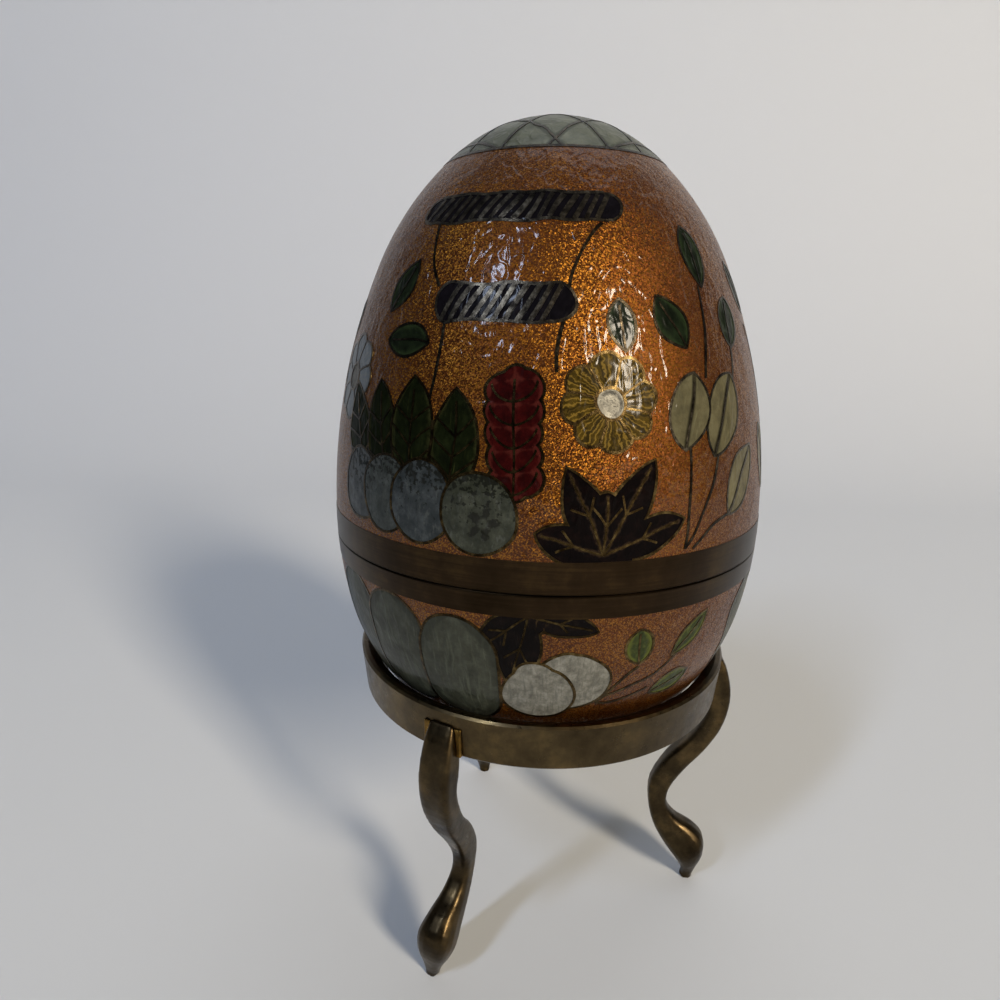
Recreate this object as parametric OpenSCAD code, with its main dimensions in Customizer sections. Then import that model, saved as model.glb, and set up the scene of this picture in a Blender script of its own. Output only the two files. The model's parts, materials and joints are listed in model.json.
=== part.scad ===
// Enamelled brass egg box on a three-legged ring stand.
// The egg is two brass shells. The lid slips over a collar fixed in the lower shell.
// Cells are sunk in the brass and filled with enamel; thin brass walls stand between them.
// Origin: the egg's axis, at the level the feet stand on. +Z is up and -Y is the front.

/* [Egg outline] */
// Radius of the widest circle
egg_r = 37.5; // [37:0.1:38]
// Height of the widest circle
widest_z = 80; // [79.5:0.1:80.5]
// Radius of the side arc above the widest circle
flank_r = 103; // [100:1:108]
// Slope where the side arc gives way to the shoulder
shoulder_a = 23.5; // [22.5:0.5:24.5]
// Radius of the shoulder arc
shoulder_r = 47; // [46:0.5:48]
// Slope where the shoulder gives way to the round tip
tip_a = 50.5; // [50:0.5:51.5]
// Radius of the side arc below the widest circle
lower_r = 69; // [66:1:72]
// Slope where the lower side gives way to the round bottom
bottom_a = 12; // [11:0.5:13]

/* [Shells] */
// Thickness of the brass at the plain band
shell_t = 1.8; // [1.6:0.1:2.2]
// Depth of the cells
cell_depth = 0.6; // [0.5:0.05:0.7]
// Height of the joint between lid and lower shell
seam_z = 77; // [76.5:0.1:77.5]
// Gap left at the joint
seam_gap = 0.1; // [0.05:0.05:0.2]
// Bevel on both edges of the joint
seam_bevel = 0.15; // [0.1:0.05:0.3]
// Height of the plain band's upper edge
band_top_z = 81.9; // [81.5:0.1:82.2]
// Height of the plain band's lower edge
band_low_z = 73.6; // [73:0.1:74]
// Height where the latticed cap begins
cap_z = 136.5; // [136:0.1:137]
// Height where the enamel of the lower shell ends
foot_disc_z = 46; // [45:0.5:47]
// Radial thickness of the collar
collar_t = 1; // [0.8:0.1:1.2]
// How far the collar stands up into the lid
collar_rise = 5; // [4:0.5:6]
// Depth of the collar's seat in the lower shell
collar_seat = 5.5; // [4:0.5:6]
// Radial gap between collar and lid
collar_gap = 0.25; // [0.2:0.05:0.3]

/* [Cell work] */
// Width of the brass walls round the cells
cell_wall = 0.4; // [0.3:0.05:0.5]
// Width of the fine brass lines inside a cell
vein_w = 0.3; // [0.25:0.05:0.4]
// Width of the brass stems and vase lines
stem_w = 0.45; // [0.35:0.05:0.6]
// How far the enamel stays below the brass
enamel_dip = 0.06; // [0.04:0.01:0.1]
// Spacing of the rope bars' slanting bars
rope_pitch = 1.55; // [1.4:0.05:1.8]
// Spacing of the cap's lattice lines
lattice_pitch = 6.4; // [5.5:0.1:7.5]

/* [Ring] */
// Height of the ring's top edge
ring_top_z = 54.7; // [54.4:0.1:54.9]
// Height of the ring band
ring_h = 7.7; // [7.2:0.1:8.2]
// Outer radius at the top edge
ring_top_r = 34.1; // [33.9:0.1:34.4]
// Outer radius at the bottom edge
ring_low_r = 33.4; // [33.2:0.1:33.8]
// Width of the flat rim on top
ring_rim = 1.1; // [0.9:0.1:1.3]
// Thickness of the band at the bottom
ring_wall = 2.8; // [2.6:0.1:3.2]
// Clearance between the seat and the egg
seat_gap = 0.12; // [0.1:0.02:0.2]

/* [Legs] */
// Direction of the front left leg, seen from above
front_leg_a = -115.5; // [-118:0.5:-113]
// Direction of the right leg
right_leg_a = -2.5; // [-5:0.5:0]
// Direction of the back leg
back_leg_a = 114; // [112:0.5:117]
// How far the front left foot stands aside of its own seat
front_foot_aside = 3.6; // [0:0.2:4]
// Diameter of the flat tip a foot stands on
foot_tip_d = 2.6; // [2.4:0.1:3]
// Thickness of the brazing beads beside a leg
braze_t = 0.5; // [0.4:0.05:0.6]
// Width of the brazing bead on each side of a leg
braze_w = 0.8; // [0.6:0.1:1.2]

/* [Hidden] */

brass = "#8a6a3c";
old_brass = "#6b5636";
copper_glitter = "#b5641e";

round_fn = 128;
arc_fn = 256;
$fn = 48;
beyond = 60;

// The outline is a chain of arcs whose centres line up at every change of arc.
flank_c = [egg_r - flank_r, widest_z];
shoulder_c = flank_c + (flank_r - shoulder_r) * [cos(shoulder_a), sin(shoulder_a)];
tip_r = shoulder_r + shoulder_c.x / cos(tip_a);
tip_c = [0, shoulder_c.y + (shoulder_r - tip_r) * sin(tip_a)];
lower_c = [egg_r - lower_r, widest_z];
bottom_r = lower_r + lower_c.x / cos(bottom_a);
bottom_c = [0, widest_z - (lower_r - bottom_r) * sin(bottom_a)];
egg_top_z = tip_c.y + tip_r;
egg_bottom_z = bottom_c.y - bottom_r;
// Each arc: centre, radius, slope at its lower end, slope at its upper end
arcs = [[bottom_c, bottom_r, -90, -bottom_a],
        [lower_c, lower_r, -bottom_a, 0],
        [flank_c, flank_r, 0, shoulder_a],
        [shoulder_c, shoulder_r, shoulder_a, tip_a],
        [tip_c, tip_r, tip_a, 90]];

function end_z(arc, r, slope) = arc[0].y + r * sin(slope);
function arc_at(z) =
  [for (a = arcs) if (z >= end_z(a, a[1], a[2]) && z <= end_z(a, a[1], a[3])) a][0];
function surface_r(z) = let (a = arc_at(z)) a[0].x + sqrt(pow(a[1], 2) - pow(z - a[0].y, 2));
function surface_slope(z) = let (a = arc_at(z)) asin((z - a[0].y) / a[1]);

// Half outline of the egg, drawn a given depth under its surface
module half_outline(depth) {
  for (a = arcs) {
    r = a[1] - depth;
    low = end_z(a, r, a[2]);
    intersection() {
      translate(a[0]) circle(r, $fn = arc_fn);
      translate([0, low]) square([beyond, end_z(a, r, a[3]) - low]);
    }
  }
}

// Skin between two depths and two heights, all round or between two directions
all_round = [0, 360];
module skin(depth_out, depth_in, z_low, z_high, span = all_round) {
  rotate(span[0]) rotate_extrude(angle = span[1] - span[0], $fn = round_fn) intersection() {
    difference() {
      half_outline(depth_out);
      half_outline(depth_in);
    }
    translate([0, z_low]) square([beyond, z_high - z_low]);
  }
}

// Directions between which one picture of the lid lies, and one set of motifs of the lower shell
lid_span = [-165, 28];
base_span = [-160, -40];
// The depth where the brass walls stand, and the part of it that the enamel fills
module lid_cells(span) {
  skin(0, cell_depth, band_top_z, cap_z, span);
}
module lid_fill(span) {
  skin(enamel_dip, cell_depth, band_top_z, cap_z - cell_wall / 2, span);
}
module base_cells(span) {
  skin(0, cell_depth, foot_disc_z, band_low_z, span);
}
module base_fill(span) {
  skin(enamel_dip, cell_depth, foot_disc_z, band_low_z, span);
}

// A drawing pressed square into the egg: at = [direction, height, turn]
cut_in = 4.5;
cut_out = 1.5;
module on_egg(at) {
  rotate(at[0])
    translate([surface_r(at[1]), 0, at[1]])
      rotate([0, 90 - surface_slope(at[1]), 0])
        rotate(90 + at[2])
          translate([0, 0, -cut_in]) linear_extrude(cut_in + cut_out) children();
}

// Pointed leaf shape, long side upright
module lens(l, w) {
  r = (l * l + w * w) / (4 * w);
  intersection() {
    translate([r - w / 2, 0]) circle(r, $fn = round_fn);
    translate([w / 2 - r, 0]) circle(r, $fn = round_fn);
  }
}

// Upright shape with straight sides and round ends
module oval(l, w) {
  for (side = [-1, 1]) translate([0, side * (l - w) / 2]) circle(w / 2);
  square([w, l - w], center = true);
}

// Line from p to q whose middle stands off to the left by bow
module bent_line(p, q, bow, w) {
  chord = norm(q - p);
  r = (chord * chord / 4 + bow * bow) / (2 * abs(bow));
  translate(p) rotate(atan2(q.y - p.y, q.x - p.x)) mirror([0, bow < 0 ? 1 : 0])
    intersection() {
      translate([chord / 2, abs(bow) - r]) difference() {
        circle(r + w / 2, $fn = arc_fn);
        circle(r - w / 2, $fn = arc_fn);
      }
      translate([0, -w]) square([chord, abs(bow) + 2 * w]);
    }
}

// A motif's first drawing is its outline grown by the wall, the second is its enamel.
// Brass is what the first has and the second lacks.
module cell(part) {
  if (part == "outline") children(0);
  if (part == "enamel") children(1);
  if (part == "brass") difference() {
    children(0);
    children(1);
  }
}
// Each leaf of a list: [direction, height, turn, length, width]
module leaf_set(leaves, part) {
  for (s = leaves) on_egg([s[0], s[1], s[2]]) cell(part) {
    lens(s[3] + 2 * cell_wall, s[4] + 2 * cell_wall);
    leaf_enamel(s[3], s[4]);
  }
}
// Leaf without its midrib and, on a large leaf, its side ribs
midrib_part = 0.9;
rib_part = 0.8;
rib_lean = 50;
module leaf_enamel(l, w, ribs = 0) {
  difference() {
    lens(l, w);
    translate([-vein_w / 2, -l / 2 - cell_wall]) square([vein_w, midrib_part * l + cell_wall]);
    for (i = [1:1:ribs], side = [-1, 1])
      translate([0, -l / 2 + i * rib_part * l / (ribs + 1)]) rotate(-side * rib_lean)
        translate([-vein_w / 2, 0]) square([vein_w, w]);
  }
}

// Round flower: petals of one size on a circle, grown by the wall
module petal_round(petals, reach, petal_r, grow) {
  circle(reach - petal_r + grow);
  for (i = [1:petals])
    rotate(i * 360 / petals) translate([reach - petal_r, 0]) circle(petal_r + grow);
}
// The same flower without its heart and the rays between its petals
module petal_enamel(petals, reach, petal_r, heart_r) {
  difference() {
    petal_round(petals, reach, petal_r, 0);
    circle(heart_r + cell_wall);
    for (i = [1:petals])
      rotate((i + 0.5) * 360 / petals) translate([heart_r, -vein_w / 2]) square([reach, vein_w]);
  }
}

// Upright plume of overlapping scales in pairs
scale_r = 2;
scale_x = 1.6;
scale_rows = 5;
scale_rise = 3;
plume_foot = -scale_rise * (scale_rows - 1) / 2;
plume_tip = 6.6;
scale_rim = [3, 2.6, -0.6];
scale_overlap = 0.6;
module plume_outline(grow) {
  for (row = [0:scale_rows - 1], side = [-1, 1])
    translate([side * scale_x, plume_foot + row * scale_rise]) circle(scale_r + grow);
  for (side = [-1, 1]) translate([0, side * plume_tip]) circle(scale_r + grow);
}
module plume_enamel() {
  difference() {
    plume_outline(0);
    for (row = [0:scale_rows - 1], side = [0, 1])
      mirror([side, 0]) translate([0, plume_foot + (row - scale_overlap) * scale_rise])
        bent_line([0, 0], [scale_rim.x, scale_rim.y], scale_rim.z, vein_w);
    translate([-vein_w / 2, plume_foot - scale_r]) square([vein_w, scale_rise * scale_rows]);
  }
}

// Many-pointed leaf of lobes that fan out from one foot: lobe = [length, width, direction]
module lobe_outline(lobes, heart_r, grow) {
  circle(heart_r + grow);
  for (lobe = lobes)
    rotate(lobe[2] - 90) translate([0, lobe[0] / 2]) lens(lobe[0] + 2 * grow, lobe[1] + 2 * grow);
}
lobe_rib_part = 0.92;
lobe_fork_part = 0.45;
lobe_fork_lean = 40;
module lobe_enamel(lobes, heart_r) {
  difference() {
    lobe_outline(lobes, heart_r, 0);
    for (lobe = lobes)
      rotate(lobe[2] - 90) {
        translate([-vein_w / 2, 0]) square([vein_w, lobe_rib_part * lobe[0]]);
        for (side = [-1, 1])
          translate([0, lobe_fork_part * lobe[0]]) rotate(-side * lobe_fork_lean)
            translate([-vein_w / 2, 0]) square([vein_w, lobe[1] / 2]);
      }
  }
}

// Where each motif of the lid sits: [direction, height, turn]
fruit_at = [[-103.6, 87.8, 0], [-117.6, 88.5, 0], [-128.2, 88.6, 0], [-138, 88.9, 0]];
// Length and width of each fruit
fruit_size = [[10.8, 10.4], [11.4, 9.8], [10.8, 9.8], [10.4, 9.6]];
tuft_at = [[-109.9, 96.6, 0], [-121.2, 97.4, 2], [-130.6, 96.8, 14], [-140.5, 96.6, 22]];
tuft_size = [[14.8, 6.8], [16, 7.4], [15, 6.6], [15, 6.4]];
tuft_ribs = 3;
plume_at = [-96.6, 98.6, 3];
flower_at = [[-76.3, 102.8, 8], [-149.5, 104.2, 0]];
flower_petals = 8;
flower_reach = 6.3;
flower_petal_r = 2.1;
flower_heart_r = 1.9;
maple_at = [-77.4, 82.9, 0];
maple_lobes = [[12.8, 5, 114], [14, 5.2, 61], [9.4, 5.2, 162], [12.6, 5, 20], [8.2, 7, 88]];
maple_heart_r = 4.2;
spray_leaves = [[-72.8, 112.4, 2, 6.8, 3.3], [-59.4, 112.9, 32, 7.8, 4.5],
                [-47, 121.9, 6, 9, 4], [-36.8, 113, -6, 6.8, 4.6],
                [-126.4, 110, 88, 7.8, 4.2], [-132.8, 117.3, -24, 8, 3.4],
                [-22, 118, 24, 8, 4.2], [-12, 103, -20, 8.6, 4.4], [16, 112, -28, 8, 4.4]];
sage_leaves = [[-56.3, 101.5, -14, 10.4, 6.6], [-45.3, 100.6, -26, 12, 7],
               [-39, 90.9, -36, 11.4, 5.8], [-20, 92.5, 18, 11, 6.2], [4, 96, 12, 12, 6.6]];

// Every motif's module below takes the part to draw: outline, enamel or brass
module fruit(i, part) {
  on_egg(fruit_at[i]) cell(part) {
    oval(fruit_size[i][0] + 2 * cell_wall, fruit_size[i][1] + 2 * cell_wall);
    oval(fruit_size[i][0], fruit_size[i][1]);
  }
}
module tuft_leaf(i, part) {
  on_egg(tuft_at[i]) cell(part) {
    lens(tuft_size[i][0] + 2 * cell_wall, tuft_size[i][1] + 2 * cell_wall);
    leaf_enamel(tuft_size[i][0], tuft_size[i][1], tuft_ribs);
  }
}
module plume(part) {
  on_egg(plume_at) cell(part) {
    plume_outline(cell_wall);
    plume_enamel();
  }
}
module flower(i, part) {
  on_egg(flower_at[i]) cell(part) {
    petal_round(flower_petals, flower_reach, flower_petal_r, cell_wall);
    union() {
      petal_enamel(flower_petals, flower_reach, flower_petal_r, flower_heart_r);
      if (part == "brass") circle(flower_heart_r);
    }
  }
}
module flower_hearts() {
  for (at = flower_at) on_egg(at) circle(flower_heart_r);
}
module maple(part) {
  on_egg(maple_at) cell(part) {
    lobe_outline(maple_lobes, maple_heart_r, cell_wall);
    lobe_enamel(maple_lobes, maple_heart_r);
  }
}
// The fruits stand in front of the tufts and the plume, each fruit in front of the next
module fruit_seen(i, part) {
  difference() {
    fruit(i, part);
    if (i > 0) fruit(i - 1, "outline");
  }
}
// The second tuft leaf stands in front of its neighbours, the third in front of the last
tuft_order = [[1], [], [1], [2]];
module tuft_seen(i, part) {
  difference() {
    tuft_leaf(i, part);
    for (front = tuft_order[i]) tuft_leaf(front, "outline");
    for (k = [max(i - 1, 0):i]) fruit(k, "outline");
    if (i < 3) fruit(i + 1, "outline");
  }
}
module plume_seen(part) {
  difference() {
    plume(part);
    fruit(0, "outline");
    tuft_leaf(0, "outline");
  }
}
// The first flower stands behind the many-pointed leaf, the second behind the last tuft leaf
module flower_seen(part) {
  difference() {
    flower(0, part);
    maple("outline");
  }
  difference() {
    flower(1, part);
    tuft_leaf(3, "outline");
  }
}
module sage_seen(part) {
  for (i = [0:len(sage_leaves) - 1])
    difference() {
      leaf_set([sage_leaves[i]], part);
      if (i == 1) leaf_set([sage_leaves[0]], "outline");
    }
}

// Rope bars of the vase: [height, half height, first direction, last direction]
upper_rope = [127.7, 1.7, -130.5, -73.5];
lower_rope = [115.2, 2.2, -115, -88.5];
rope_lean = -28;
rope_strand_part = 0.45;
rope_strand_l = 2.6;
rope_end_r = 1.1;

// Stretch of the egg between two heights and two directions, less than half a turn wide
module sector(z_low, z_high, from, to) {
  rotate(from) rotate_extrude(angle = to - from, $fn = round_fn)
    translate([egg_r / 3, z_low]) square([egg_r, z_high - z_low]);
}
module rope_outline(bar, grow) {
  sector(bar[0] - bar[1] - grow, bar[0] + bar[1] + grow, bar[2], bar[3]);
  for (side = [2, 3]) on_egg([bar[side], bar[0], 0]) circle(bar[1] * rope_end_r + grow);
}
module rope_strands(bar) {
  step = rope_pitch / surface_r(bar[0]) * 180 / PI;
  for (a = [bar[2] : step : bar[3]])
    on_egg([a, bar[0], rope_lean])
      square([rope_strand_part * rope_pitch, rope_strand_l * bar[1]], center = true);
}
module rope_enamel(bar) {
  difference() {
    rope_outline(bar, 0);
    rope_strands(bar);
  }
}
module rope_brass(bar) {
  difference() {
    rope_outline(bar, cell_wall);
    rope_outline(bar, 0);
  }
  intersection() {
    rope_outline(bar, cell_wall / 2);
    rope_strands(bar);
  }
}

// Lines of brass alone, as [at, from, to, bow]: the vase's sides, and the stems of the leaves
vase_lines = [[[-79.9, 121.2, 0], [2, 4.8], [-2.8, -4.4], -0.7],
              [[-122.1, 121.4, 0], [-1.9, 5], [1.4, -4.6], -0.6],
              [[-115.4, 107.6, 0], [-0.2, 5.6], [-1.2, -6], 0.3],
              [[-87.4, 109.9, 0], [0.4, 3.4], [-0.3, -3.4], -0.3]];
stem_lines = [[[-57.4, 92.2, 0], [0.2, 5.4], [-0.6, -9.6], 0.4],
              [[-57.4, 92.2, 0], [5.9, 3.8], [-0.6, -9.6], 0.9],
              [[-50, 88.5, 0], [5.6, -1.6], [-4, -6], -0.5],
              [[-49.6, 111.5, 0], [1, 6.6], [-0.6, -6], 0.3],
              [[-39, 105, 0], [0.6, 5], [-1.4, -2], 0.3],
              [[-16, 107, 0], [-3, 6], [2, -16], 1],
              [[10, 100, 0], [3.4, 8.6], [-3, -8], 0.8]];
module brass_lines(lines) {
  for (line = lines) on_egg(line[0]) bent_line(line[1], line[2], line[3], stem_w);
}
// The vase runs behind the rope bars and the tuft, the stems behind the leaves
module vase_lines_seen() {
  difference() {
    brass_lines(vase_lines);
    rope_outline(upper_rope, cell_wall);
    rope_outline(lower_rope, cell_wall);
    for (i = [0, 1]) tuft_leaf(i, "outline");
  }
}
module stem_lines_seen() {
  difference() {
    brass_lines(stem_lines);
    leaf_set(spray_leaves, "outline");
    leaf_set(sage_leaves, "outline");
    maple("outline");
  }
}

// The same picture is worked on the front and on the back of the egg
module each_side() {
  for (side = [0, 180]) rotate(side) children();
}
module lid_outlines() {
  each_side() {
    for (i = [0:3]) {
      fruit(i, "outline");
      tuft_leaf(i, "outline");
    }
    for (i = [0, 1]) flower(i, "outline");
    plume("outline");
    maple("outline");
    leaf_set(spray_leaves, "outline");
    leaf_set(sage_leaves, "outline");
    rope_outline(upper_rope, cell_wall);
    rope_outline(lower_rope, cell_wall);
    brass_lines(vase_lines);
    brass_lines(stem_lines);
  }
}

module cap_lattice() {
  translate([0, 0, cap_z - 2]) linear_extrude(egg_top_z - cap_z + 4)
    for (turn = [35, -35], i = [-3:3])
      rotate(turn) translate([(i + 0.5) * lattice_pitch, 0])
        square([vein_w, 2 * beyond], center = true);
}

// Motifs of the lower shell, worked three times round it
base_repeats = 3;
petal_at = [[-109.4, 62.4, 0], [-127.5, 63.4, 4], [-144, 64, 8]];
petal_l = 20;
petal_w = 12;
dark_at = [-92.5, 73.9, 0];
dark_lobes = [[12, 6, -102], [9, 5, -140], [10, 3.6, -14]];
dark_heart_r = 3;
// Each half of the white flower: [at, round radius, notch place, notch radius]
discs = [[[-89.8, 60.4, 0], 5.2, [-0.6, 3.2], 2.9], [[-81.6, 62.4, 0], 5.1, [-1.6, 2], 3.4]];
base_leaves = [[-66.8, 68.2, 10, 5.6, 4], [-52.6, 68.6, -42, 8.4, 3.4],
               [-54.6, 60, -66, 7, 4]];
base_lines = [[[-70, 61.7, 0], [2.6, 3.2], [-3, -3.6], -0.5],
              [[-70, 61.7, 0], [5, -1.8], [-3, -3.6], 0.5],
              [[-62, 64, 0], [5, 2.4], [-7, -4.6], 0.8]];

module petal(i, part) {
  on_egg(petal_at[i]) cell(part) {
    oval(petal_l + 2 * cell_wall, petal_w + 2 * cell_wall);
    oval(petal_l, petal_w);
  }
}
module petal_seen(i, part) {
  difference() {
    petal(i, part);
    if (i > 0) petal(i - 1, "outline");
    if (i == 0) flower_disc(0, "outline");
  }
}
module dark_leaf(part) {
  on_egg(dark_at) cell(part) {
    lobe_outline(dark_lobes, dark_heart_r, cell_wall);
    lobe_enamel(dark_lobes, dark_heart_r);
  }
}
module dark_leaf_seen(part) {
  difference() {
    dark_leaf(part);
    petal(0, "outline");
    flower_disc(0, "outline");
  }
}
module disc_outline(disc, grow) {
  circle(disc[1] + grow);
  translate(disc[2]) circle(disc[3] + grow);
}
module flower_disc(i, part) {
  on_egg(discs[i][0]) cell(part) {
    disc_outline(discs[i], cell_wall);
    disc_outline(discs[i], 0);
  }
}
module disc_seen(i, part) {
  difference() {
    flower_disc(i, part);
    if (i > 0) flower_disc(i - 1, "outline");
  }
}
module base_lines_seen() {
  difference() {
    brass_lines(base_lines);
    leaf_set(base_leaves, "outline");
  }
}
module each_third() {
  for (i = [0:base_repeats - 1]) rotate(i * 360 / base_repeats) children();
}
module base_outlines() {
  each_third() {
    for (i = [0:2]) petal(i, "outline");
    dark_leaf("outline");
    for (i = [0:1]) flower_disc(i, "outline");
    leaf_set(base_leaves, "outline");
    brass_lines(base_lines);
  }
}

// Ring: the seat is a cone that touches the egg along one circle
ring_low_z = ring_top_z - ring_h;
bore_r = ring_low_r - ring_wall;
seat_lip = 0.4;
seat_r = bore_r + seat_lip;
seat_z = bottom_c.y - sqrt(pow(bottom_r, 2) - pow(seat_r, 2));
seat_slope = -surface_slope(seat_z);
rim_r = ring_top_r - ring_rim;
// Bevel of the ring's edges, and how far under the rim the seat's cone begins
edge = 0.35;
rim_drop = 0.7;
module stand_ring() {
  run = (ring_top_z - rim_drop - seat_z) * tan(seat_slope);
  shift = seat_gap / cos(seat_slope);
  color(old_brass) rotate_extrude($fn = round_fn)
    polygon([[bore_r, ring_low_z + edge],
             [bore_r + edge, ring_low_z],
             [ring_low_r - edge, ring_low_z],
             [ring_low_r, ring_low_z + edge],
             [ring_top_r, ring_top_z - edge],
             [ring_top_r - edge, ring_top_z],
             [rim_r, ring_top_z],
             [seat_r + run + shift, ring_top_z - rim_drop],
             [bore_r, seat_z - (seat_r + shift - bore_r) / tan(seat_slope)]]);
}

// Solid cone inside the ring's outer face, cut from whatever is seated against it
overlap = 0.01;
module ring_core() {
  above = 4;
  taper = (ring_top_r - ring_low_r) / (ring_h - 2 * edge);
  translate([0, 0, ring_low_z - overlap])
    cylinder(h = ring_h + above, r1 = ring_low_r - edge * taper,
             r2 = ring_low_r + (ring_h + above - edge) * taper, $fn = round_fn);
}

// Cabriole leg, as stations from the ring to the ground:
// [outer radius, outer height, inner radius, inner height, half width, squareness]
stations = [[34.1, 52.6, 32.6, 51.2, 2.2, 6],
            [35.7, 49.8, 32.4, 48.2, 2.6, 6],
            [36.9, 45.4, 32.6, 44.4, 2.8, 6],
            [37.0, 41.2, 33.0, 40.6, 2.8, 5],
            [35.9, 36.4, 31.8, 36.8, 2.7, 5],
            [33.3, 31.2, 29.5, 32.8, 2.4, 4.5],
            [30.0, 26.4, 26.2, 28.8, 2.1, 4],
            [27.4, 21.6, 23.4, 23.2, 1.8, 4],
            [27.1, 17.6, 23.3, 18.0, 1.8, 3.5],
            [29.4, 14.6, 24.6, 12.8, 2.2, 3],
            [32.6, 12.8, 27.0, 8.4, 2.9, 2.6],
            [35.0, 10.2, 29.2, 5.4, 3.5, 2.5],
            [35.2, 6.6, 30.4, 3.6, 2.9, 2.5],
            [34.2, 3.2, 31.2, 1.8, 1.8, 2.5],
            [33.4, 0.2, 31.2, 0.1, 1.2, 2.2]];
steps = 3;
sides = 16;
last_station = stations[len(stations) - 1];
seat_height = stations[1][1];
foot_r = (last_station[0] + last_station[2]) / 2;
foot_pad_h = 0.6;
aside_bend = 1.7;
// Each leg: direction of its seat, and how far its foot stands aside of it
front_left = [front_leg_a, front_foot_aside];
right = [right_leg_a, 0];
back = [back_leg_a, 0];

// Smooth curve through the stations
function curve(p, i, t) =
  let (a = p[max(i - 1, 0)], b = p[i], c = p[i + 1], d = p[min(i + 2, len(p) - 1)])
  0.5 * (2 * b + (c - a) * t + (2 * a - 5 * b + 4 * c - d) * t * t
         + (3 * b - a - 3 * c + d) * t * t * t);
function rounded(v, m) = sign(v) * pow(abs(v), 2 / m);
function leg_ring(s, aside) =
  [for (k = [0:sides - 1])
    let (turn = 360 * (k + 0.5) / sides,
         across = rounded(cos(turn), s[5]),
         through = rounded(sin(turn), s[5]),
         mid = [s[0] + s[2], s[1] + s[3]] / 2,
         half = [s[0] - s[2], s[1] - s[3]] / 2,
         z = mid.y + half.y * through)
    [mid.x + half.x * through,
     across * s[4] - aside * pow(max(0, 1 - z / seat_height), aside_bend), z]];
leg_path = [for (i = [0:len(stations) - 2], j = [0:steps - 1]) curve(stations, i, j / steps),
            last_station];
leg_faces = [[for (k = [0:sides - 1]) k],
             for (i = [0:len(leg_path) - 2], k = [0:sides - 1])
               let (a = i * sides + k, b = i * sides + (k + 1) % sides)
               each [[a, a + sides, b + sides], [a, b + sides, b]],
             [for (k = [sides - 1:-1:0]) (len(leg_path) - 1) * sides + k]];
module leg_bar(aside) {
  polyhedron([for (s = leg_path) each leg_ring(s, aside)], leg_faces);
}
module leg(place) {
  color(old_brass) rotate(place[0]) {
    difference() {
      leg_bar(place[1]);
      ring_core();
      translate([0, 0, -beyond / 2]) cube([2 * beyond, 2 * beyond, beyond], center = true);
    }
    translate([foot_r, -place[1], 0]) cylinder(h = foot_pad_h, d = foot_tip_d);
  }
}
module leg_front_left() {
  leg(front_left);
}
module leg_right() {
  leg(right);
}
module leg_back() {
  leg(back);
}
// Beads of brazing metal down both sides of each leg's seat
bead_h = 4.8;
bead_reach = 8;
ring_flare = 0.3;
module leg_brazing() {
  half_w = stations[1][4] + braze_w;
  color("#a8803f") for (place = [front_left, right, back])
    rotate(place[0]) difference() {
      intersection() {
        translate([0, 0, ring_low_z + edge])
          cylinder(h = bead_h, r = ring_low_r + ring_flare + braze_t, $fn = round_fn);
        translate([ring_low_r, 0, ring_low_z + ring_h / 2])
          cube([bead_reach, 2 * half_w, ring_h], center = true);
      }
      ring_core();
      leg_bar(place[1]);
    }
}

// Lower shell, with a bored seat for the collar
collar_r = surface_r(seam_z) - shell_t - collar_gap;
module base_shell() {
  top_z = seam_z - seam_gap / 2;
  color(brass) difference() {
    union() {
      skin(0, shell_t, egg_bottom_z - 1, foot_disc_z);
      skin(cell_depth, shell_t, foot_disc_z, band_low_z);
      skin(0, shell_t, band_low_z, top_z);
    }
    translate([0, 0, seam_z - collar_seat]) cylinder(h = collar_seat, r = collar_r, $fn = round_fn);
    bevel_cut(top_z, -1);
  }
}
// Ring-shaped cut that bevels an outer edge; side is 1 above the joint and -1 below it
module bevel_cut(z, side) {
  r = surface_r(z);
  reach = 1;
  rotate_extrude($fn = round_fn)
    polygon([[r - seam_bevel, z - side * overlap],
             [r + reach, z - side * overlap],
             [r + reach, z + side * (reach + seam_bevel)]]);
}
module base_collar() {
  color(brass) rotate_extrude($fn = round_fn)
    translate([collar_r - collar_t, seam_z - collar_seat])
      square([collar_t, collar_seat + collar_rise]);
}
module base_cell_walls() {
  color(brass) each_third() intersection() {
    base_cells(base_span);
    union() {
      for (i = [0:2]) petal_seen(i, "brass");
      dark_leaf_seen("brass");
      for (i = [0:1]) disc_seen(i, "brass");
      leaf_set(base_leaves, "brass");
      base_lines_seen();
    }
  }
}
module base_ground_enamel() {
  color(copper_glitter) difference() {
    base_fill(all_round);
    base_outlines();
  }
}
// Enamel of one colour, cut to the lower shell's cells all round
module base_enamel(tint) {
  color(tint) each_third() intersection() {
    base_fill(base_span);
    union() children();
  }
}
module base_pale_petal_enamel() {
  base_enamel("#8e9384") for (i = [0:2]) petal_seen(i, "enamel");
}
module base_dark_leaf_enamel() {
  base_enamel("#2a1f22") dark_leaf_seen("enamel");
}
module base_white_flower_enamel() {
  base_enamel("#d8d6ce") for (i = [0:1]) disc_seen(i, "enamel");
}
module base_green_leaf_enamel() {
  base_enamel("#3c4a25") leaf_set(base_leaves, "enamel");
}

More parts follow.
